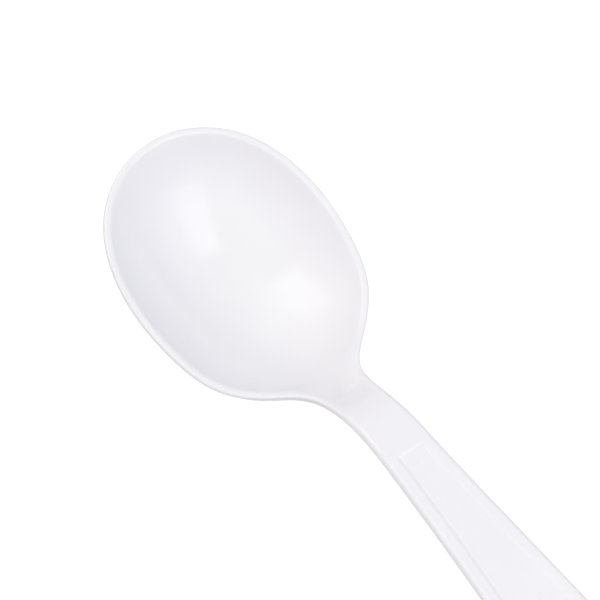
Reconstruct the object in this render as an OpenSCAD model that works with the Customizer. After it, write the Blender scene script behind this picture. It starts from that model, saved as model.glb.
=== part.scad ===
// Soup spoon for soup and stew, moulded in one piece from white plastic.
// The tip of the bowl points to -X, the handle runs to +X, and the bowl opens upwards (+Z).
// It lies as it rests on a table: on the underside of the bowl and on the end of the handle.
// The nodes are the regions of the one moulding. They meet face to face.

/* [Bowl] */
// Length of the bowl, from its tip to the crease at the neck
bowl_l = 56.5; // [50:0.5:64]
// Width of the bowl over its lip
bowl_w = 42; // [36:0.5:48]
// Depth of the bowl inside, below its lip
bowl_d = 11.5; // [9:0.5:14]
// Thickness of the bowl's wall
wall = 1.3; // [1:0.1:1.8]
// Width of the rounded lip round the bowl
lip_w = 1.4; // [1.1:0.05:1.8]

/* [Neck] */
// Width of the neck at its narrowest
neck_w = 8.6; // [7:0.2:11]
// Rise of the neck above the lip, up to where the handle starts
neck_rise = 13; // [9:0.5:15]
// Length of the neck, from the crease to the head of the panel
neck_l = 15.8; // [14:0.2:19]
// Thickness of the neck, square to its slope
neck_t = 2.4; // [2:0.1:3]

/* [Handle] */
// Length of the handle, from the crease to its end
handle_l = 92; // [84:1:104]
// Width of the handle near its end
tail_w = 19.6; // [16:0.2:22]
// How far the handle climbs from the neck to its end, measured square to the lip
handle_rise = 5.2; // [3:0.2:7]
// Height of the handle's edge, from its top to the foot of its skirt
handle_t = 1.6; // [1.4:0.1:2.6]
// Width of the raised border beside the panel
border_w = 2.25; // [1.8:0.05:2.8]
// Depth of the panel below the border
recess = 0.2; // [0.1:0.05:0.6]
// Thickness of the panel's web
web_t = 1.1; // [0.9:0.1:1.4]

/* [Hidden] */
white = [0.95, 0.95, 0.97];

NB = 40;    // steps along the lip, from the tip to the crease
NK = 3;     // steps from the middle of the crease to its end
NR = 11;    // rings from the middle of the bowl to its lip
flat = 0.07; // how much of the underside is flat where it rests

// ---- The edge of the spoon: a cubic spline, half of it, from the tip to the end of the handle ----
// bowl: share of the bowl's length, share of its half width
BOWL = [[-0.005, 0], [0.0095, 0.303], [0.089, 0.668], [0.223, 0.907], [0.397, 1.012],
        [0.56, 0.996], [0.752, 0.895], [0.863, 0.61], [0.92, 0.373]];
// neck: distance behind the crease, width beyond the half neck, share of the neck's rise
NECK = [[-1.3, 0.4, 0.268], [3.8, 0.2, 0.632], [10.1, 0.6, 0.92], [19.2, 0.9, 0.99]];
// handle: share of its length, share of its half width at the end, share of its rise
HANDLE = [[0.414, 0.661, 0.5], [0.612, 0.819, 0.86], [0.79, 0.95, 1.02], [0.915, 1.06, 1.02],
          [0.985, 0.87, 0.98], [1, 0.33, 0.96]];
C0 = concat(
    [for (p = BOWL) [p[0] * bowl_l, p[1] * bowl_w / 2, p[0] > 0.9 ? 0.185 * neck_rise : 0]],
    [for (p = NECK) [bowl_l + p[0], neck_w / 2 + p[1], p[2] * neck_rise]],
    [for (p = HANDLE) [bowl_l + p[0] * handle_l, p[1] * tail_w / 2, neck_rise + p[2] * handle_rise]]);
nC = len(C0);
CP = concat([[C0[1][0], -C0[1][1], C0[1][2]]], C0, [[C0[nC - 1][0], -C0[nC - 1][1], C0[nC - 1][2]]]);
U_CREASE = 9.43;
U_END = nC - 2 + 0.98;

function spline(u) = let (i = min(floor(u), len(CP) - 4), t = u - i)
    ((1 - t) * (1 - t) * (1 - t) * CP[i] + (3 * t * t * t - 6 * t * t + 4) * CP[i + 1]
     + (-3 * t * t * t + 3 * t * t + 3 * t + 1) * CP[i + 2] + t * t * t * CP[i + 3]) / 6;
function unit(v) = v / norm(v);
function slope(u) = let (d = spline(u + 0.01) - spline(max(u - 0.01, 0))) [d[0], d[1]];
// direction square to the edge, towards the middle; it turns square to the length at the crease
function inward(u) = let (d = slope(u), s = max(0, min(1, (u - U_CREASE + 2) / 2)), n = unit([d[1], -d[0]]))
    u < 0.02 ? [1, 0] : unit((1 - s * s) * n + s * s * [0, -1]);
function inset(u, d, dz) = let (e = spline(u), n = inward(u)) [e[0] + d * n[0], e[1] + d * n[1], e[2] + dz];
function true_inset(u, d) = let (e = spline(u), s = slope(u), n = unit([s[1], -s[0]])) [e[0] + d * n[0], e[1] + d * n[1]];

// half width and height of the edge along the neck and the handle
UH = [for (k = [0 : 200]) U_CREASE + (U_END - U_CREASE) * k / 200];
WX = [for (u = UH) let (e = spline(u)) [e[0], e[1]]];
ZX = [for (u = UH) let (e = spline(u)) [e[0], e[2]]];

// ---- The bowl ----
// profile of the lip: distance in from the edge, height over the edge
lip_drop = 0.23;
LIP = [[0, -0.55], [0.13, -0.2], [0.5, 0], [0.4 + 0.4 * lip_w, -0.05], [lip_w, -lip_drop], [0.7, -1.45], [0.15, -1]];
UB = [for (j = [0 : NB]) U_CREASE * j / NB];
xc = 0.47 * bowl_l;                     // where the bowl is deepest
E_c = spline(U_CREASE);
x_c = E_c[0];                           // the crease
dip_c = 1;                              // how deep the middle of the crease lies below its ends
z_k = E_c[2] - dip_c;                   // middle of the crease, on top
TOPL = [for (u = UB) inset(u, LIP[4][0], LIP[4][1])];
LOWL = [for (u = UB) inset(u, LIP[5][0], LIP[5][1])];
FINE = [for (j = [0 : 240]) U_CREASE * j / 240];
WT = [for (u = FINE) let (p = inset(u, LIP[4][0], 0)) [p[0], p[1]]];
ZT = [for (u = FINE) let (p = inset(u, LIP[4][0], LIP[4][1])) [p[0], p[2]]];
WL = [for (u = FINE) let (p = inset(u, LIP[5][0], 0)) [p[0], p[1]]];
ZL = [for (u = FINE) let (p = inset(u, LIP[5][0], LIP[5][1])) [p[0], p[2]]];

function full(t, k) = (1 - k) * t * t + k * t * t * t * t;
function ease(t) = let (s = max(0, min(1, t))) s * s * (3 - 2 * s);
k_c = -0.5;                             // how full the cross-section is at the crease
// height along the middle: d below the lip at the deepest, x0 and z0 at the tip, zk at the crease
function middle(x, d, x0, z0, zk) = x < xc ? -d + (d + z0) * full((xc - x) / (xc - x0), 0.22)
                                            : -d + (d + zk - 0.8) * full((x - xc) / (x_c - xc), 0)
                                              + last(max(0, (x - x_c + 12) / 12));
function last(t) = 7 * t * t * t - 6.2 * t * t * t * t;
function dish(x, y, d, x0, z0, zk, W, Z) = let (m = middle(x, d, x0, z0, zk), w = max(0.001, lookup(x, W)))
    m + (lookup(x, Z) - m) * full(min(1, abs(y) / w), 0.25 + (k_c - 0.25) * ease((x - x_c + 14) / 14));
function top_z(x, y) = dish(x, y, bowl_d, TOPL[0][0], TOPL[0][2], z_k, WT, ZT);
function low_z(x, y) = dish(x, y, bowl_d + wall, LOWL[0][0], LOWL[0][2], z_k - down(x_c, neck_t), WL, ZL);

// one closed loop round a surface: right side, crease, left side
function loop(P, zt) = let (wc = P[NB][1]) concat(
    P,
    [for (k = [NK - 1 : -1 : -NK + 1]) [x_c, wc * k / NK, zt[abs(k)]]],
    [for (j = [NB : -1 : 1]) [P[j][0], -P[j][1], P[j][2]]]);
zt_top = [for (k = [0 : NK]) top_z(x_c, TOPL[NB][1] * k / NK)];
zt_low = [for (k = [0 : NK]) low_z(x_c, LOWL[NB][1] * k / NK)];
L_TOP = loop(TOPL, zt_top);
L_LOW = loop(LOWL, zt_low);
NL = len(L_TOP);
RT = [for (r = [1 : NR]) pow(r / NR, 0.9)];
function ring_pts(L, lowside) = [for (r = [1 : NR], j = [0 : NL - 1]) let (q = L[j], t = RT[r - 1],
    x = xc + (q[0] - xc) * t, y = q[1] * t) r == NR ? q : [x, y, lowside ? low_z(x, y) : top_z(x, y)]];

// ---- How it rests: the line under the bowl and the end of the handle ----
E_t = spline(U_END);
tail_pt = [E_t[0], E_t[2] - handle_t - flat];
lean = max([for (x = [xc - 6 : 0.25 : xc + 8]) atan((tail_pt[1] - low_z(x, 0)) / (tail_pt[0] - x))]);
drop = min([for (x = [xc - 6 : 0.25 : xc + 8]) -x * sin(lean) + low_z(x, 0) * cos(lean)]);
far_x = max([for (u = [U_END - 2.5 : 0.05 : U_END]) let (e = spline(u)) e[0] * cos(lean) + (e[2] - 0.3) * sin(lean)]);
near_x = min([for (p = LIP) p[0] * cos(lean) + p[1] * sin(lean)]) + spline(0)[0] * cos(lean);
module resting() {
    translate([-(near_x + far_x) / 2, 0, -drop - flat]) rotate([0, lean, 0]) children();
}

// a solid from a top sheet and a low sheet over one loop, with a side wall between them
module sheet_solid(top, low) {
    n = NL * NR;
    pts = concat(top, low, [[xc, 0, top_z(xc, 0)], [xc, 0, low_z(xc, 0)]]);
    function at(s, r, j) = s * n + (r - 1) * NL + (j % NL);
    faces = concat(
        [for (r = [1 : NR - 1], j = [0 : NL - 1]) each [[at(0, r, j), at(0, r + 1, j + 1), at(0, r + 1, j)],
                                                        [at(0, r, j), at(0, r, j + 1), at(0, r + 1, j + 1)]]],
        [for (r = [1 : NR - 1], j = [0 : NL - 1]) each [[at(1, r, j), at(1, r + 1, j), at(1, r + 1, j + 1)],
                                                        [at(1, r, j), at(1, r + 1, j + 1), at(1, r, j + 1)]]],
        [for (j = [0 : NL - 1]) [2 * n, at(0, 1, j + 1), at(0, 1, j)]],
        [for (j = [0 : NL - 1]) [2 * n + 1, at(1, 1, j), at(1, 1, j + 1)]],
        [for (j = [0 : NL - 1]) each [[at(0, NR, j), at(0, NR, j + 1), at(1, NR, j + 1)],
                                      [at(0, NR, j), at(1, NR, j + 1), at(1, NR, j)]]]);
    // each face runs clockwise seen from outside
    polyhedron(pts, [for (f = faces) [f[2], f[1], f[0]]]);
}

// a solid skinned over equal outlines, one after the other; each outline runs the same way round
module loft(S) {
    n = len(S[0]);
    m = len(S);
    pts = [for (s = S) each s];
    faces = concat(
        [[for (k = [n - 1 : -1 : 0]) k]],
        [for (i = [0 : m - 2], k = [0 : n - 1]) each [[i * n + k, i * n + (k + 1) % n, (i + 1) * n + (k + 1) % n],
                                                      [i * n + k, (i + 1) * n + (k + 1) % n, (i + 1) * n + k]]],
        [[for (k = [0 : n - 1]) (m - 1) * n + k]]);
    polyhedron(pts, faces);
}

module bowl() {
    color(white) difference() {
        resting() sheet_solid(ring_pts(L_TOP, false), ring_pts(L_LOW, true));
        translate([-100, -30, -10]) cube([130, 60, 10]);
    }
}

module rim() {
    US = concat([for (j = [NB : -1 : 1]) -UB[j]], UB);
    color(white) resting() loft([for (u = US) let (a = abs(u), s = u < 0 ? -1 : 1)
        [for (k = [len(LIP) - 1 : -1 : 0]) let (q = inset(a, LIP[k][0], LIP[k][1])) [q[0], s * q[1], q[2]]]]);
}

// ---- The neck and the handle: cross-sections along the length ----
x_h = bowl_l + neck_l;                  // head of the panel
x_e = spline(U_END)[0];                 // end of the handle
x_t = x_e - 11;                         // where the tail end starts
PX = [for (u = UH) if (spline(u)[0] > x_h - 6) true_inset(u, border_w)];
function wx(x) = lookup(x, WX);
function zx(x) = lookup(x, ZX);
function px(x) = max(0.3, lookup(x, PX));
// thickness straight down: more where the neck is steep
function down(x, t) = let (m = (zx(x + 0.2) - zx(x)) / 0.2) t * sqrt(1 + m * m);
function edge_h(x) = down(x, neck_t + (handle_t - neck_t) * ease((x - x_c) / (x_h - x_c)));

// the neck's outline at x, from the middle of its top round to the middle of its underside
function neck_half(x) = let (w = wx(x), z = zx(x), h = edge_h(x), f = 1 - pow(1 - min(1, (x - x_c) / 3.5), 2),
    a1 = 1 - full(1 / 3, k_c), a2 = 1 - full(2 / 3, k_c),
    dip = (dip_c - lip_drop) * (1 - f), lip = lip_drop * (1 - f), wi = w - lip_w,
    e = 1.45 + (min(h, 1.9) - 1.45) * ease((x - x_c) / 7), wo = w - 0.7, low = h + dip + lip)
    [[0, z - lip - dip + 0.07 * f], [wi / 3, z - lip - dip * a1 + 0.06 * f],
     [wi * 2 / 3, z - lip - dip * a2 + 0.04 * f], [wi, z - lip + 0.02 * f],
     [w - 0.6, z], [w - 0.15, z - 0.18], [w, z - 0.6], [w - 0.1, z - e + 0.45], [wo, z - e],
     [wo * 2 / 3, z - e - (low - e) * a2 - 0.02 * f], [wo / 3, z - e - (low - e) * a1 - 0.03 * f],
     [0, z - low - 0.035 * f]];
// the other half added, for outlines whose last point may lie on the middle
function mirrored(H, x) = concat([for (p = H) [x, p[0], p[1]]],
    [for (k = [len(H) - 1 : -1 : 1]) if (H[k][0] > 0) [x, -H[k][0], H[k][1]]]);
module neck() {
    XS = [for (k = [0 : 20]) x_c + (x_h - x_c) * pow(k / 20, 1.25)];
    color(white) resting() loft([for (x = XS) mirrored(neck_half(x), x)]);
}

XR = [for (k = [0 : 24]) x_h + (x_t - x_h) * k / 24];
web = min(web_t, handle_t - recess - 0.15);
function rail(x) = let (w = wx(x), z = zx(x), p = px(x), h = handle_t, b = recess + web)
    [[p, z - recess], [p + 0.35, z], [w - 0.95, z], [w - 0.4, z - 0.13], [w - 0.1, z - 0.42], [w, z - 0.9],
     [w, z - h], [w - 1.2, z - h], [w - 1.3, z - b], [p, z - b]];
module right_rail() {
    color(white) resting() loft([for (x = XR) [for (p = rail(x)) [x, p[0], p[1]]]]);
}
module left_rail() {
    color(white) resting() loft([for (k = [len(XR) - 1 : -1 : 0]) let (x = XR[k]) [for (p = rail(x)) [x, -p[0], p[1]]]]);
}
module panel() {
    color(white) resting() loft([for (x = XR) let (z = zx(x), p = px(x))
        [[x, -p, z - recess], [x, p, z - recess], [x, p, z - recess - web], [x, -p, z - recess - web]]]);
}

// the tail: the border runs round the end of the panel, and the skirt round the end of the handle
XE = [for (k = [0 : 24]) x_t + (x_e - x_t) * (1 - pow(1 - k / 24, 1.7))];
function tail_half(x) = let (w = max(2.4, wx(x)), z = zx(x), d = ease((x_e - border_w - x) / 0.6),
    p = min(px(x), w - 1.6), c = 0.03)
    [[0, z - recess * d - c * (1 - d)], [p, z - (recess + 0.01) * d - c * (1 - d) * 1.2], [p + 0.35, z - c],
     [w - 0.95, z], [w - 0.4, z - 0.13], [w - 0.1, z - 0.42], [w, z - 0.9], [w, z - handle_t + 0.3], [w - 0.3, z - handle_t]];
module tail_end() {
    color(white) resting() loft([for (x = XE) mirrored(tail_half(x), x)]);
}

bowl();
rim();
neck();
left_rail();
right_rail();
panel();
tail_end();
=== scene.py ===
import bpy
import math
import numpy as np
from mathutils import Matrix, Vector


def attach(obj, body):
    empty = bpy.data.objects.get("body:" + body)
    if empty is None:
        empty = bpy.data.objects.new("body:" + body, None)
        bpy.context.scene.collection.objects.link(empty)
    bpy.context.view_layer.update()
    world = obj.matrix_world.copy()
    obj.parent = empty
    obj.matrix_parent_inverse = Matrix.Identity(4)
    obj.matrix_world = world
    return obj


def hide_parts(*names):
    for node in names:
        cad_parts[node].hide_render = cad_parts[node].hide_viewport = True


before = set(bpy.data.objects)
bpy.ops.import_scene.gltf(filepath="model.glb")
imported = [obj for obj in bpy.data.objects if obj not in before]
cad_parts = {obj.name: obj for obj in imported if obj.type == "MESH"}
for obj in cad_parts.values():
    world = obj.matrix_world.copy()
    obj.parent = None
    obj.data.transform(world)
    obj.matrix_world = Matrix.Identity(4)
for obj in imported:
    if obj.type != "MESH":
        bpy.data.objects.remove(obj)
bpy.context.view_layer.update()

# ------------------------------------------------------------------ sizes, in mm
BOWL_L, BOWL_W, BOWL_D, WALL, LIP_W = 56.5, 42.0, 11.5, 1.3, 1.4
LIP_DROP = 0.23
NECK_W, NECK_RISE, NECK_L, NECK_T = 8.6, 13.0, 15.8, 2.4
HANDLE_L, TAIL_W, HANDLE_RISE, HANDLE_T = 92.0, 19.6, 5.2, 1.6
BORDER_W, RECESS, WEB_T = 2.25, 0.2, 1.1
FLAT = 0.07

# ------------------------------------------------------------------ the edge of the spoon, half of it
BOWL = [(-0.005, 0), (0.0095, 0.303), (0.089, 0.668), (0.223, 0.907), (0.397, 1.012),
        (0.56, 0.996), (0.752, 0.895), (0.863, 0.61), (0.92, 0.373)]
NECK = [(-1.3, 0.4, 0.268), (3.8, 0.2, 0.632), (10.1, 0.6, 0.92), (19.2, 0.9, 0.99)]
HANDLE = [(0.414, 0.661, 0.5), (0.612, 0.819, 0.86), (0.79, 0.95, 1.02), (0.915, 1.06, 1.02),
          (0.985, 0.87, 0.98), (1, 0.33, 0.96)]
C0 = [(a * BOWL_L, b * BOWL_W / 2, 0.185 * NECK_RISE if a > 0.9 else 0) for a, b in BOWL]
C0 += [(BOWL_L + a, NECK_W / 2 + b, c * NECK_RISE) for a, b, c in NECK]
C0 += [(BOWL_L + a * HANDLE_L, b * TAIL_W / 2, NECK_RISE + c * HANDLE_RISE) for a, b, c in HANDLE]
mir = lambda p: (p[0], -p[1], p[2])
CP = np.array([mir(C0[1])] + C0 + [mir(C0[-1]), mir(C0[-2])], float)
U_CREASE = 9.43
U_END = len(C0) - 1 + 0.5          # the middle of the tail


def spline(u):
    u = np.atleast_1d(np.asarray(u, float))
    i = np.clip(np.floor(u).astype(int), 0, len(CP) - 4)
    t = (u - i)[:, None]
    return ((1 - t) ** 3 * CP[i] + (3 * t ** 3 - 6 * t * t + 4) * CP[i + 1]
            + (-3 * t ** 3 + 3 * t * t + 3 * t + 1) * CP[i + 2] + t ** 3 * CP[i + 3]) / 6


def ease(t):
    t = np.clip(t, 0, 1)
    return t * t * (3 - 2 * t)


def full(t, k):
    return (1 - k) * t * t + k * t ** 4


UF = np.linspace(0, U_END, 6001)
EF = spline(UF)
TF = np.gradient(EF[:, :2], axis=0)
TF /= np.linalg.norm(TF, axis=1)[:, None]
NF = np.c_[TF[:, 1], -TF[:, 0]]          # inwards
NF[0] = (1, 0)
NF[-1] = (-1, 0)
X_C = float(spline(U_CREASE)[0, 0])
Z_C = float(spline(U_CREASE)[0, 2])
Z_K = Z_C - 1.0
X_E = float(EF[-1, 0])
X_H = BOWL_L + NECK_L
XC = 0.47 * BOWL_L
MONO = np.maximum.accumulate(EF[:, 0])
ze = lambda x: np.interp(x, EF[:, 0], EF[:, 2])
we = lambda x: np.interp(x, EF[:, 0], EF[:, 1])
# the inner border of the lip
IN = EF[:, :2] + LIP_W * NF
kb = (UF <= U_CREASE)
win = lambda x: np.where(x < X_C, np.interp(x, IN[kb, 0], IN[kb, 1]), we(x) - LIP_W)
LO = EF[:, :2] + 0.7 * NF
wlo = lambda x: np.where(x < X_C, np.interp(x, LO[kb, 0], LO[kb, 1]), we(x) - 0.7)


# ------------------------------------------------------------------ heights
def middle(x, d, x0, z0, zk):
    a = -d + (d + z0) * full((XC - x) / (XC - x0), 0.22)
    t = np.clip((x - X_C + 12) / 12, 0, 1.1)
    b = -d + (d + zk - 0.8) * full((x - XC) / (X_C - XC), 0) + 7 * t ** 3 - 6.2 * t ** 4
    return np.where(x < XC, a, b)


def dish(x, y, d, x0, z0, zk, w, z):
    m = middle(x, d, x0, z0, zk)
    return m + (z - m) * full(np.minimum(np.abs(y) / np.maximum(w, 0.02), 1.12), 0.25 - 0.75 * ease((x - X_C + 14) / 14))


def neck_top(x, y):
    f = 1 - np.clip(1 - (x - X_C) / 3.5, 0, 1) ** 2
    z = ze(x)
    dip = (Z_C - LIP_DROP - Z_K) * (1 - f)
    return z - LIP_DROP * (1 - f) - dip * (1 - full(np.minimum(1, np.abs(y) / np.maximum(win(x), 0.05)), -0.5))


def base_top1(x, y):
    return np.where(x < X_C, dish(x, y, BOWL_D, IN[0, 0], -LIP_DROP, Z_K, win(x), ze(x) - LIP_DROP), neck_top(x, y))


def base_top(x, y):
    z = base_top1(x, y)
    near = np.abs(x - X_C) < 0.6
    if near.any():
        k = np.linspace(-0.1, 0.1, 5)
        z[near] = np.mean([base_top1(x[near] + q, y[near]) for q in k], axis=0)
    return z


def base_low(x, y):
    steep = (ze(X_C + 0.2) - ze(X_C)) / 0.2
    b = dish(x, y, BOWL_D + WALL, LO[0, 0], -1.45, Z_K - NECK_T * math.sqrt(1 + steep ** 2), wlo(x), ze(x) - 1.45)
    slope = (ze(x + 0.2) - ze(x)) / 0.2
    t = (NECK_T + (HANDLE_T - NECK_T) * ease((x - X_C) / (X_H - X_C))) * np.sqrt(1 + slope ** 2)
    f = 1 - np.clip(1 - (x - X_C) / 3.5, 0, 1) ** 2
    dip = (Z_C - LIP_DROP - Z_K) * (1 - f)
    e = 1.45 + (np.minimum(t, 1.9) - 1.45) * ease((x - X_C) / 7)
    low = t + dip + LIP_DROP * (1 - f)
    n = ze(x) - low + (low - e) * full(np.minimum(1, np.abs(y) / np.maximum(wlo(x), 0.05)), -0.5)
    return np.where(x < X_C, b, n)


# ------------------------------------------------------------------ the grid: columns along the edge, rows across it
def columns():
    s = np.r_[0, np.cumsum(np.linalg.norm(np.diff(EF, axis=0), axis=1))]
    step = np.full(len(UF), 0.36)
    x = EF[:, 0]
    past = UF > 7
    step[past & (np.abs(x - X_C) < 2.5)] = 0.12
    step[past & (np.abs(x - X_H - 0.2) < 0.7)] = 0.045
    step[past & (np.abs(x - 74.7) < 1.2)] = 0.07
    step[past & (x > X_E - 9)] = 0.2
    dens = 1 / step
    k = np.ones(81) / 81
    dens = np.convolve(np.pad(dens, 40, mode="edge"), k, mode="valid")
    n = np.r_[0, np.cumsum(0.5 * (dens[1:] + dens[:-1]) * np.diff(s))]
    return np.interp(np.linspace(0, n[-1], int(n[-1]) + 1), n, UF)


U = columns()
E = spline(U)
N = np.c_[np.interp(U, UF, NF[:, 0]), np.interp(U, UF, NF[:, 1])]
straight = ease((U - 7.6) / (U_CREASE - 7.6)) * (1 - ease((U - 14.6) / 1.2))
N = N * (1 - straight)[:, None] + np.array([0, -1]) * straight[:, None]
N /= np.linalg.norm(N, axis=1)[:, None]
N[0] = (1, 0)
N[-1] = (-1, 0)
nC = len(U)
# where each column meets the middle
m = E[:, 0] - E[:, 1] * N[:, 0] / np.minimum(N[:, 1], -1e-3)
m[0] = m[1]
m_lo, m_hi = 15.5, X_E - 9.2
m = np.clip(m, m_lo, m_hi)
m = np.maximum.accumulate(m)
for _ in range(60):
    m[1:-1] = 0.25 * m[:-2] + 0.5 * m[1:-1] + 0.25 * m[2:]
m = m + np.linspace(0, 0.4, nC)
D1 = 3.2
# handle share: 0 in the bowl, 1 in the handle
hs = ease((E[:, 0] - X_C + 1.5) / 9) * (U > 7)
rail = ease((E[:, 0] - X_H + 1.2) / 2.4) * (U > 7)

rows = []


def put(x, y, z):
    rows.append(np.c_[x, y, z])


def along(d):
    d = np.broadcast_to(d, (nC,))
    return E[:, 0] + d * N[:, 0], np.maximum(0, E[:, 1] + d * N[:, 1])


def mix(a, b, f):
    return a + (b - a) * f


def lip_top(d):
    """height of the bowl's lip over its edge line, and of the handle's border, at distance d in from the edge"""
    r_d, r_z = mix(0.5, 1.0, hs), mix(0.55, 1.25, hs)
    t = np.clip(1 - d / r_d, 0, 1)
    roll = -r_z * (1 - np.sqrt(np.maximum(0, 1 - t ** 2.2)))
    t2 = np.clip((d - 0.6) / (LIP_W - 0.6), 0, 1.5)
    flat = (U > 7) * (1 - np.clip(1 - (E[:, 0] - X_C) / 3.5, 0, 1) ** 2)
    return roll - LIP_DROP * t2 ** 2 * (1 - flat)


def crown(d):
    """the handle's borders are a little rounded"""
    return -0.03 * ease((d - 0.8) / 2.3) * ease((E[:, 0] - X_C - 1) / 9) * (U > 7)


# a shallow moon-shaped mark near the head of the panel
MARK = [(74.89, -1.15), (75.07, -0.36), (74.65, 0.37)]


def arc(p, q, r):
    (ax, ay), (bx, by), (cx, cy) = p, q, r
    d = 2 * (ax * (by - cy) + bx * (cy - ay) + cx * (ay - by))
    ux = ((ax * ax + ay * ay) * (by - cy) + (bx * bx + by * by) * (cy - ay) + (cx * cx + cy * cy) * (ay - by)) / d
    uy = ((ax * ax + ay * ay) * (cx - bx) + (bx * bx + by * by) * (ax - cx) + (cx * cx + cy * cy) * (bx - ax)) / d
    return ux, uy, math.hypot(ax - ux, ay - uy)


MX, MY, MR = arc(*MARK)


def mark(x, y):
    """depth of the mark"""
    a = np.arctan2(y - MY, x - MX)
    a0, a1 = sorted(math.atan2(q[1] - MY, q[0] - MX) for q in (MARK[0], MARK[2]))
    over = np.maximum(0, np.maximum(a0 - a, a - a1)) * MR
    off = np.hypot(np.hypot(x - MX, y - MY) - MR, over)
    return 0.05 * np.exp(-(off / 0.1) ** 2)


def panel_depth(d, x):
    side = ease((d - BORDER_W + 0.12) / 0.8)
    head = np.mean([np.clip((x - X_H - q) / 0.5, 0, 1) for q in np.linspace(-0.05, 0.05, 5)], axis=0)
    return -RECESS * side * head


# rows from the middle of the top out to the edge
K_IN = 60
x1, y1 = along(D1)
top_rows = []
for k in range(K_IN):
    t = 1 - k / K_IN
    x = mix(x1, m, t)
    y = mix(y1, 0, t)
    z = base_top(x, y) + panel_depth(np.full(nC, 9.0), x) + crown(9.0)
    top_rows.append((x, y, z))
    put(x, y, z)
# from D1 to the lip's inner border, then the lip and the rounded edge
r_f = 0.24                               # half width of the fillet at the lip's inner border
x, y = along(LIP_W + r_f)
za = base_top(x, y)
x, y = along(LIP_W + r_f + 0.05)
sa = (za - base_top(x, y)) / 0.05         # slope towards the edge
x, y = along(LIP_W - r_f)
zc = ze(x) + lip_top(LIP_W - r_f)
x, y = along(LIP_W - r_f - 0.05)
sc_ = (ze(x) + lip_top(LIP_W - r_f - 0.05) - zc) / 0.05
r_s = 0.55 * mix(1.0, 1.8, hs)            # where the rounded edge starts
Q = [D1 - 0.1 * k for k in range(5)] + [2.7 - 0.05 * k for k in range(27)] + [1.34 - 0.04 * k for k in range(12)] \
    + [0.86, 0.8, 0.74, 0.68, 0.62, 0.55, 0.5, 0.45, 0.4, 0.35, 0.3, 0.25, 0.2, 0.15, 0.11, 0.075, 0.045, 0.02, 0.005]
for q in Q:
    d = np.where(q < 0.55, q * r_s / 0.55, np.where(q < 1.6, r_s + (q - 0.55) * (1.6 - r_s) / 1.05, q))
    x, y = along(d)
    t = np.clip((LIP_W + r_f - d) / (2 * r_f), 0, 1)
    h = 2 * r_f
    fillet = ((2 * t ** 3 - 3 * t ** 2 + 1) * za + (t ** 3 - 2 * t ** 2 + t) * h * sa
              + (-2 * t ** 3 + 3 * t ** 2) * zc + (t ** 3 - t ** 2) * h * sc_)
    z = np.where(d >= LIP_W + r_f, base_top(x, y), np.where(d > LIP_W - r_f, fillet, ze(x) + lip_top(d)))
    z = z + crown(d) + panel_depth(d, x)
    put(x, y, z)
# the side, down to its foot
r_z = mix(0.55, 1.25, hs)
slope = (ze(E[:, 0] + 0.2) - ze(E[:, 0])) / 0.2
foot = np.where(U > 5, np.interp(E[:, 0], [44, 47, 49, 51, 54, 57, 61, 66], [1.15, 1.25, 1.8, 2.2, 2.25, 2.0, 1.75, HANDLE_T]), 1.15)
for t in (0.0, 0.35, 0.7):
    x, y = along(0.0)
    put(x, y, ze(x) - mix(r_z, foot - 0.3, t))
for t in (0.25, 0.5, 0.75, 1.0):
    a = t * math.pi / 2
    x, y = along(0.3 * (1 - math.cos(a)))
    put(x, y, ze(x) - (foot - 0.3 + 0.3 * math.sin(a)))
# the underside: from the foot to the bowl's wall, or across the skirt to the panel's underside
skirt = mix(0.72, 1.25, hs)
z_in = {}
xs_, ys_ = along(skirt + 0.35)
b_edge = base_low(xs_, ys_)
web = ze(xs_) - RECESS - WEB_T
low_edge = mix(b_edge, web, rail)
z_foot = ze(along(0.3)[0]) - foot
for t in (0.33, 0.66, 1.0):
    dk = mix(0.3, skirt, t)
    x, y = along(dk)
    zf = ze(x) - foot
    b = base_low(x, y)
    zz = mix(mix(zf, b, ease(t)), zf, rail)
    put(x, y, zz)
for t in (0.35, 0.7, 1.0):
    dk = mix(skirt, skirt + 0.35, t)
    x, y = along(dk)
    put(x, y, mix(base_low(x, y), mix(ze(x) - foot, ze(x) - RECESS - WEB_T, ease(t)), rail))
x2, y2 = along(skirt + 0.35)
K_LOW = 40
for k in range(1, K_LOW + 1):
    t = k / K_LOW
    x = mix(x2, m, t)
    y = mix(y2, 0, t)
    put(x, y, mix(base_low(x, y), ze(x) - RECESS - WEB_T, rail))

G = np.array(rows)                        # rows, columns, 3
R = len(rows)
G[:, 0, 1] = 0
G[:, -1, 1] = 0
G[0, :, 1] = 0
G[-1, :, 1] = 0


# ------------------------------------------------------------------ how it rests
def resting(P):
    return P


xx = np.arange(XC - 6, XC + 8.01, 0.25)
lz = base_low(xx, np.zeros_like(xx))
end = spline(len(C0) - 2 + 0.98)[0]
tail_x, tail_z = end[0], end[2] - HANDLE_T - FLAT
LEAN = float(np.max(np.arctan2(tail_z - lz, tail_x - xx)))
drop = float(np.min(-xx * math.sin(LEAN) + lz * math.cos(LEAN)))
ee = spline(np.arange(len(C0) - 1 - 2.5, len(C0) - 1 - 0.01, 0.05))
far_x = float(np.max(ee[:, 0] * math.cos(LEAN) + (ee[:, 2] - 0.3) * math.sin(LEAN)))
near_x = min(p * math.cos(LEAN) + q * math.sin(LEAN) for p, q in ((0, -0.55), (0.13, -0.2), (0.5, 0), (0.15, -1))) \
    + float(spline(0)[0, 0]) * math.cos(LEAN)
c, s = math.cos(LEAN), math.sin(LEAN)
A = np.array([[c, 0, s], [0, 1, 0], [-s, 0, c]])
OFF = np.array([-(near_x + far_x) / 2, 0, -drop - FLAT])


def to_world(P):
    """rim frame in mm to the part's frame in m"""
    return (np.asarray(P, float) @ A.T + OFF) / 1000


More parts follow.
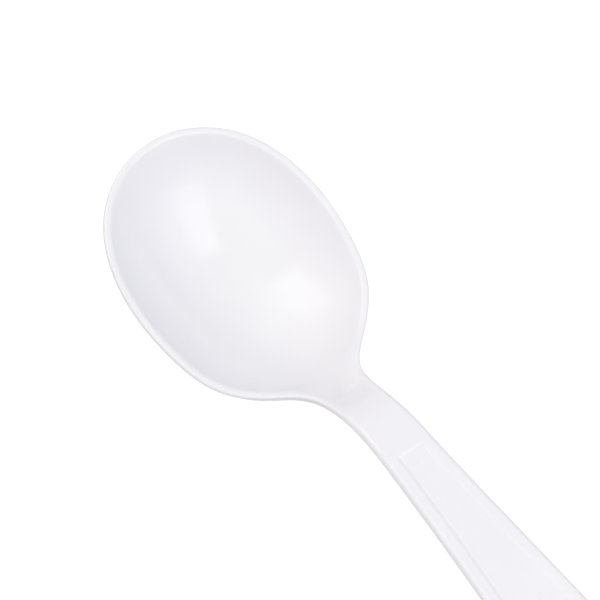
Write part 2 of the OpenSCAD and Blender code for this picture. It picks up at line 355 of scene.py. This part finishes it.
TOP = K_IN + len(Q)                       # rows that lie on the top
GL = G * np.array([1.0, -1.0, 1.0])
for half in (G, GL):
    half[:TOP, :, 2] -= mark(half[:TOP, :, 0], half[:TOP, :, 1])
V = to_world(G.reshape(-1, 3)).reshape(G.shape)
V[:, :, 2] = np.maximum(V[:, :, 2], 0)
WL = to_world(GL.reshape(-1, 3)).reshape(G.shape)
WL[:, :, 2] = np.maximum(WL[:, :, 2], 0)

# ------------------------------------------------------------------ one closed mesh
idx = np.arange(R * nC).reshape(R, nC)
inner = (slice(1, R - 1), slice(1, nC - 1))
left = idx.copy()
cnt = (R - 2) * (nC - 2)
left[inner] = R * nC + np.arange(cnt).reshape(R - 2, nC - 2)
VL = WL[inner].reshape(-1, 3)
verts = np.vstack([V.reshape(-1, 3), VL])


def quads(a, flip):
    q = np.stack([a[:-1, :-1], a[:-1, 1:], a[1:, 1:], a[1:, :-1]], axis=-1).reshape(-1, 4)
    return q[:, ::-1] if flip else q


faces = np.vstack([quads(idx, False), quads(left, True)])
me = bpy.data.meshes.new("spoon_moulding")
me.vertices.add(len(verts))
me.vertices.foreach_set("co", verts.astype(np.float32).ravel())
me.loops.add(faces.size)
me.loops.foreach_set("vertex_index", faces.ravel().astype(np.int32))
me.polygons.add(len(faces))
me.polygons.foreach_set("loop_start", np.arange(0, faces.size, 4, dtype=np.int32))
me.polygons.foreach_set("loop_total", np.full(len(faces), 4, dtype=np.int32))
me.update(calc_edges=True)
me.validate()
me.polygons.foreach_set("use_smooth", np.ones(len(me.polygons), dtype=bool))
spoon = bpy.data.objects.new("spoon_moulding", me)
bpy.context.scene.collection.objects.link(spoon)


# ------------------------------------------------------------------ white glossy plastic
def white_plastic():
    mat = bpy.data.materials.new("white_plastic")
    mat.use_nodes = True
    nt = mat.node_tree
    nt.nodes.clear()
    out = nt.nodes.new("ShaderNodeOutputMaterial")
    p = nt.nodes.new("ShaderNodeBsdfPrincipled")
    nt.links.new(p.outputs[0], out.inputs[0])
    p.inputs["IOR"].default_value = 1.55
    p.inputs["Specular IOR Level"].default_value = 0.5
    p.inputs["Subsurface Weight"].default_value = 0.25
    p.inputs["Subsurface Radius"].default_value = (1.0, 0.95, 0.9)
    p.inputs["Subsurface Scale"].default_value = 0.0012
    tc = nt.nodes.new("ShaderNodeTexCoord")
    # soft clouding of the plastic
    n1 = nt.nodes.new("ShaderNodeTexNoise")
    n1.inputs["Scale"].default_value = 60
    n1.inputs["Detail"].default_value = 3
    nt.links.new(tc.outputs["Object"], n1.inputs["Vector"])
    r1 = nt.nodes.new("ShaderNodeValToRGB")
    r1.color_ramp.elements[0].position = 0.3
    r1.color_ramp.elements[1].position = 0.7
    r1.color_ramp.elements[0].color = (0.865, 0.86, 0.875, 1)
    r1.color_ramp.elements[1].color = (0.88, 0.876, 0.89, 1)
    nt.links.new(n1.outputs["Fac"], r1.inputs["Fac"])
    nt.links.new(r1.outputs["Color"], p.inputs["Base Color"])
    # gloss, a little uneven as moulded
    n2 = nt.nodes.new("ShaderNodeTexNoise")
    n2.inputs["Scale"].default_value = 220
    n2.inputs["Detail"].default_value = 4
    nt.links.new(tc.outputs["Object"], n2.inputs["Vector"])
    m2 = nt.nodes.new("ShaderNodeMapRange")
    m2.inputs["To Min"].default_value = 0.04
    m2.inputs["To Max"].default_value = 0.07
    nt.links.new(n2.outputs["Fac"], m2.inputs["Value"])
    nt.links.new(m2.outputs["Result"], p.inputs["Roughness"])
    # very fine grain
    n3 = nt.nodes.new("ShaderNodeTexNoise")
    n3.inputs["Scale"].default_value = 1800
    n3.inputs["Detail"].default_value = 2
    nt.links.new(tc.outputs["Object"], n3.inputs["Vector"])
    b = nt.nodes.new("ShaderNodeBump")
    b.inputs["Strength"].default_value = 0.04
    b.inputs["Distance"].default_value = 0.00002
    nt.links.new(n3.outputs["Fac"], b.inputs["Height"])
    nt.links.new(b.outputs["Normal"], p.inputs["Normal"])
    return mat


spoon.data.materials.append(white_plastic())
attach(spoon, "root")
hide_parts("bowl", "rim", "neck", "left_rail", "right_rail", "panel", "tail_end")

# ------------------------------------------------------------------ camera, at the photo's viewing angle
PITCH, ACROSS, ROLL, SCALE, U0, V0, DIST = 7.28, 20.0, 52.81, 5.6305, 147.25, 143.36, 700.0
bk = np.array([math.tan(math.radians(PITCH)), -math.tan(math.radians(ACROSS)), 1.0])
bk /= np.linalg.norm(bk)
fw = -bk
ex = np.array([1.0, 0, 0])
rr = ex - (ex @ fw) * fw
rr /= np.linalg.norm(rr)
dn = np.cross(fw, rr)
ro = math.radians(ROLL)
R0 = math.cos(ro) * rr - math.sin(ro) * dn
D0 = math.sin(ro) * rr + math.cos(ro) * dn
ox, oy = (U0 - 300) / SCALE, (V0 - 300) / SCALE
eye = -ox * R0 - oy * D0 - DIST * fw
FOCAL = SCALE * DIST
cam_data = bpy.data.cameras.new("camera")
cam_data.sensor_width = 36
cam_data.sensor_fit = "HORIZONTAL"
cam_data.lens = FOCAL * 36 / 600
cam_data.clip_start, cam_data.clip_end = 0.05, 20
cam = bpy.data.objects.new("camera", cam_data)
bpy.context.scene.collection.objects.link(cam)
right, up, back = A @ R0, A @ -D0, A @ bk
M = Matrix(((right[0], up[0], back[0], 0), (right[1], up[1], back[1], 0), (right[2], up[2], back[2], 0), (0, 0, 0, 1)))
M.translation = Vector(to_world(eye).tolist())
cam.matrix_world = M
bpy.context.scene.camera = cam


# ------------------------------------------------------------------ floor and light
def plain(name, colour, strength=0.0):
    mat = bpy.data.materials.new(name)
    mat.use_nodes = True
    p = mat.node_tree.nodes["Principled BSDF"]
    p.inputs["Base Color"].default_value = (*colour, 1)
    p.inputs["Roughness"].default_value = 0.9
    p.inputs["Specular IOR Level"].default_value = 0.1
    p.inputs["Emission Color"].default_value = (1, 1, 1, 1)
    p.inputs["Emission Strength"].default_value = strength
    return mat


fm = bpy.data.meshes.new("floor")
n = 48
ring = [(3.0 * math.cos(2 * math.pi * k / n), 3.0 * math.sin(2 * math.pi * k / n), -0.0002) for k in range(n)]
fm.from_pydata(ring, [], [list(range(n))])
floor = bpy.data.objects.new("floor", fm)
bpy.context.scene.collection.objects.link(floor)
floor_mat = plain("pale_floor", (0.9, 0.9, 0.9), 0)
ft = floor_mat.node_tree
f_out = [q for q in ft.nodes if q.type == "OUTPUT_MATERIAL"][0]
f_mix = ft.nodes.new("ShaderNodeMixShader")
f_seen = ft.nodes.new("ShaderNodeMixShader")
f_seen.inputs[0].default_value = 0.12          # how much of its own shading the floor shows
f_glow = ft.nodes.new("ShaderNodeEmission")
f_glow.inputs["Color"].default_value = (1, 1, 1, 1)
f_glow.inputs["Strength"].default_value = 1.08
# the light that the floor gives back to the spoon, on its -Y side and on its +Y side
FLOOR = {"floor0": (0.661, 0.661, 0.661), "floor1": (0.765, 0.765, 0.765)}
F_BACK = {}
for name, colour in FLOOR.items():
    F_BACK[name] = ft.nodes.new("ShaderNodeEmission")
    F_BACK[name].inputs["Color"].default_value = (*colour, 1)
f_back = ft.nodes.new("ShaderNodeMixShader")
f_xyz = ft.nodes.new("ShaderNodeSeparateXYZ")
f_side = ft.nodes.new("ShaderNodeMapRange")
f_side.interpolation_type = "SMOOTHSTEP"
f_side.inputs["From Min"].default_value = -0.03
f_side.inputs["From Max"].default_value = 0.03
ft.links.new(ft.nodes.new("ShaderNodeTexCoord").outputs["Object"], f_xyz.inputs[0])
ft.links.new(f_xyz.outputs["Y"], f_side.inputs["Value"])
ft.links.new(f_side.outputs["Result"], f_back.inputs[0])
ft.links.new(F_BACK["floor0"].outputs[0], f_back.inputs[1])
ft.links.new(F_BACK["floor1"].outputs[0], f_back.inputs[2])
f_path = ft.nodes.new("ShaderNodeLightPath")
ft.links.new(f_path.outputs["Is Camera Ray"], f_mix.inputs[0])
ft.links.new(f_back.outputs[0], f_mix.inputs[1])
ft.links.new(f_glow.outputs[0], f_seen.inputs[1])
ft.links.new(ft.nodes["Principled BSDF"].outputs[0], f_seen.inputs[2])
ft.links.new(f_seen.outputs[0], f_mix.inputs[2])
ft.links.new(f_mix.outputs[0], f_out.inputs[0])
floor.data.materials.append(floor_mat)

# A white studio: a soft sky in every direction, made of wide lobes, and two large softboxes over the spoon.
# direction in the rim frame (x to the handle, y across, z up out of the bowl), sharpness, colour
SKY = [
    ("all", (0, 0, 1), 0, (0.244, 0.216, 0.217)),
    ("top", (0, 0, 1), 2, (0.328, 0.370, 0.328)),
    ("low0", (0.94, 0, 0.342), 7, (0.233, 0.201, 0.266)),
    ("low45", (0.664, 0.664, 0.342), 7, (0.570, 0.588, 0.662)),
    ("low90", (0, 0.94, 0.342), 7, (-0.177, -0.095, -0.030)),
    ("low135", (-0.664, 0.664, 0.342), 7, (0.217, 0.248, 0.321)),
    ("low180", (-0.94, 0, 0.342), 7, (0.742, 0.721, 0.753)),
    ("low225", (-0.664, -0.664, 0.342), 7, (0.638, 0.594, 0.623)),
    ("low270", (-0, -0.94, 0.342), 7, (0.242, 0.254, 0.329)),
    ("low315", (0.664, -0.664, 0.342), 7, (0.143, 0.150, 0.228)),
    ("high0", (0.643, 0, 0.766), 14, (0.565, 0.568, 0.576)),
    ("high45", (0.455, 0.455, 0.766), 14, (0.437, 0.466, 0.493)),
    ("high90", (0, 0.643, 0.766), 14, (0.195, 0.190, 0.273)),
    ("high135", (-0.455, 0.455, 0.766), 14, (-0.077, -0.146, -0.082)),
    ("high180", (-0.643, 0, 0.766), 14, (0.556, 0.584, 0.555)),
    ("high225", (-0.455, -0.455, 0.766), 14, (0.012, 0.000, 0.000)),
    ("high270", (-0, -0.643, 0.766), 14, (0.497, 0.514, 0.499)),
    ("high315", (0.455, -0.455, 0.766), 14, (0.518, 0.517, 0.523)),
    ("side90", (0, 1, 0.05), 16, (-0.101, -0.101, -0.101)),
    ("side270", (0, -1, 0.05), 16, (-0.078, -0.102, -0.088)),
]
BACKDROP = (1.0, 1.0, 1.0)
world = bpy.data.worlds.new("studio")
bpy.context.scene.world = world
world.use_nodes = True
wt = world.node_tree
wt.nodes.clear()
w_out = wt.nodes.new("ShaderNodeOutputWorld")
w_bg = wt.nodes.new("ShaderNodeBackground")
w_plain = wt.nodes.new("ShaderNodeBackground")
w_plain.inputs["Color"].default_value = (*BACKDROP, 1)
w_mix = wt.nodes.new("ShaderNodeMixShader")
w_path = wt.nodes.new("ShaderNodeLightPath")
wt.links.new(w_path.outputs["Is Camera Ray"], w_mix.inputs[0])
wt.links.new(w_bg.outputs[0], w_mix.inputs[1])
wt.links.new(w_plain.outputs[0], w_mix.inputs[2])
wt.links.new(w_mix.outputs[0], w_out.inputs[0])
w_dir = wt.nodes.new("ShaderNodeTexCoord").outputs["Generated"]
LOBES = {}
total = None
for name, direction, power, colour in SKY:
    d = A @ np.array(direction, float)
    d /= np.linalg.norm(d)
    add = wt.nodes.new("ShaderNodeVectorMath")
    add.operation = "MULTIPLY_ADD"
    if power:
        dot = wt.nodes.new("ShaderNodeVectorMath")
        dot.operation = "DOT_PRODUCT"
        wt.links.new(w_dir, dot.inputs[0])
        dot.inputs[1].default_value = d.tolist()
        up0 = wt.nodes.new("ShaderNodeMath")
        up0.operation = "MAXIMUM"
        wt.links.new(dot.outputs["Value"], up0.inputs[0])
        up0.inputs[1].default_value = 0
        pw = wt.nodes.new("ShaderNodeMath")
        pw.operation = "POWER"
        wt.links.new(up0.outputs[0], pw.inputs[0])
        pw.inputs[1].default_value = power
        wt.links.new(pw.outputs[0], add.inputs[0])
    else:
        add.inputs[0].default_value = (1, 1, 1)
    add.inputs[1].default_value = colour
    if total is not None:
        wt.links.new(total, add.inputs[2])
    else:
        add.inputs[2].default_value = (0, 0, 0)
    total = add.outputs[0]
    LOBES[name] = add
wt.links.new(total, w_bg.inputs["Color"])

# Softboxes: the directions of their corners, as the bowl sees them, and their colour
BOXES = [
    ("box_handle_side", (14.5, 2, -9), [(0.79, 0.322, 0.522), (0.735, -0.15, 0.661), (0.132, 0.063, 0.989), (0.191, 0.436, 0.879)],
     (2.230, 2.230, 2.230)),
    ("box_tip_side", (36, 8, -8), [(-0.396, -0.665, 0.633), (-0.776, -0.52, 0.357), (-0.755, -0.004, 0.656), (-0.421, -0.158, 0.893)],
     (2.221, 2.231, 2.101)),
]
BOX_NODES = {}
# the lamp behind each softbox's cloth: centre, turn, half length and half width, in shares of the panel; how bright
LAMPS = {
    "box_handle_side": ((0.53, 0.47), 0, (2.1, 1.5), 0.64, 1.0),
    "box_tip_side": ((0.41, 0.43), 0, (1.9, 1.4), 0.6, 1.0),
}


def lamp_glow(nt, emission, centre, turn, half, dim, hot):
    """brightness of a softbox over its panel: it falls off evenly round its lamp"""
    uvn = nt.nodes.new("ShaderNodeTexCoord")
    mp = nt.nodes.new("ShaderNodeMapping")
    mp.vector_type = "TEXTURE"
    mp.inputs["Location"].default_value = (*centre, 0)
    mp.inputs["Rotation"].default_value = (0, 0, math.radians(turn))
    mp.inputs["Scale"].default_value = (*half, 1)
    gr = nt.nodes.new("ShaderNodeTexGradient")
    gr.gradient_type = "SPHERICAL"
    mr = nt.nodes.new("ShaderNodeMapRange")
    mr.inputs["To Min"].default_value = dim
    mr.inputs["To Max"].default_value = hot
    nt.links.new(uvn.outputs["UV"], mp.inputs["Vector"])
    nt.links.new(mp.outputs[0], gr.inputs["Vector"])
    nt.links.new(gr.outputs["Fac"], mr.inputs["Value"])
    nt.links.new(mr.outputs["Result"], emission.inputs["Strength"])


for name, seen_from, corners, colour in BOXES:
    dirs = [np.array(q, float) / np.linalg.norm(q) for q in corners]
    mid = sum(dirs) / np.linalg.norm(sum(dirs))
    o = to_world(seen_from)
    pts = [o + (A @ q) * 0.9 / (q @ mid) for q in dirs]
    bm_ = bpy.data.meshes.new(name)
    bm_.from_pydata([p_.tolist() for p_ in pts], [], [(0, 1, 2, 3)])
    uv = bm_.uv_layers.new(name="UVMap")
    for k, q in enumerate(((0, 0), (1, 0), (1, 1), (0, 1))):
        uv.data[k].uv = q
    ob = bpy.data.objects.new(name, bm_)
    bpy.context.scene.collection.objects.link(ob)
    mt = bpy.data.materials.new(name)
    mt.use_nodes = True
    mt.node_tree.nodes.clear()
    em = mt.node_tree.nodes.new("ShaderNodeEmission")
    mo = mt.node_tree.nodes.new("ShaderNodeOutputMaterial")
    mt.node_tree.links.new(em.outputs[0], mo.inputs[0])
    em.inputs["Color"].default_value = (*colour, 1)
    lamp_glow(mt.node_tree, em, *LAMPS[name])
    ob.data.materials.append(mt)
    ob.visible_camera = False
    BOX_NODES[name] = em

vs = bpy.context.scene.view_settings
vs.view_transform = "Standard"
vs.look = "None"
vs.exposure = 0
vs.gamma = 1
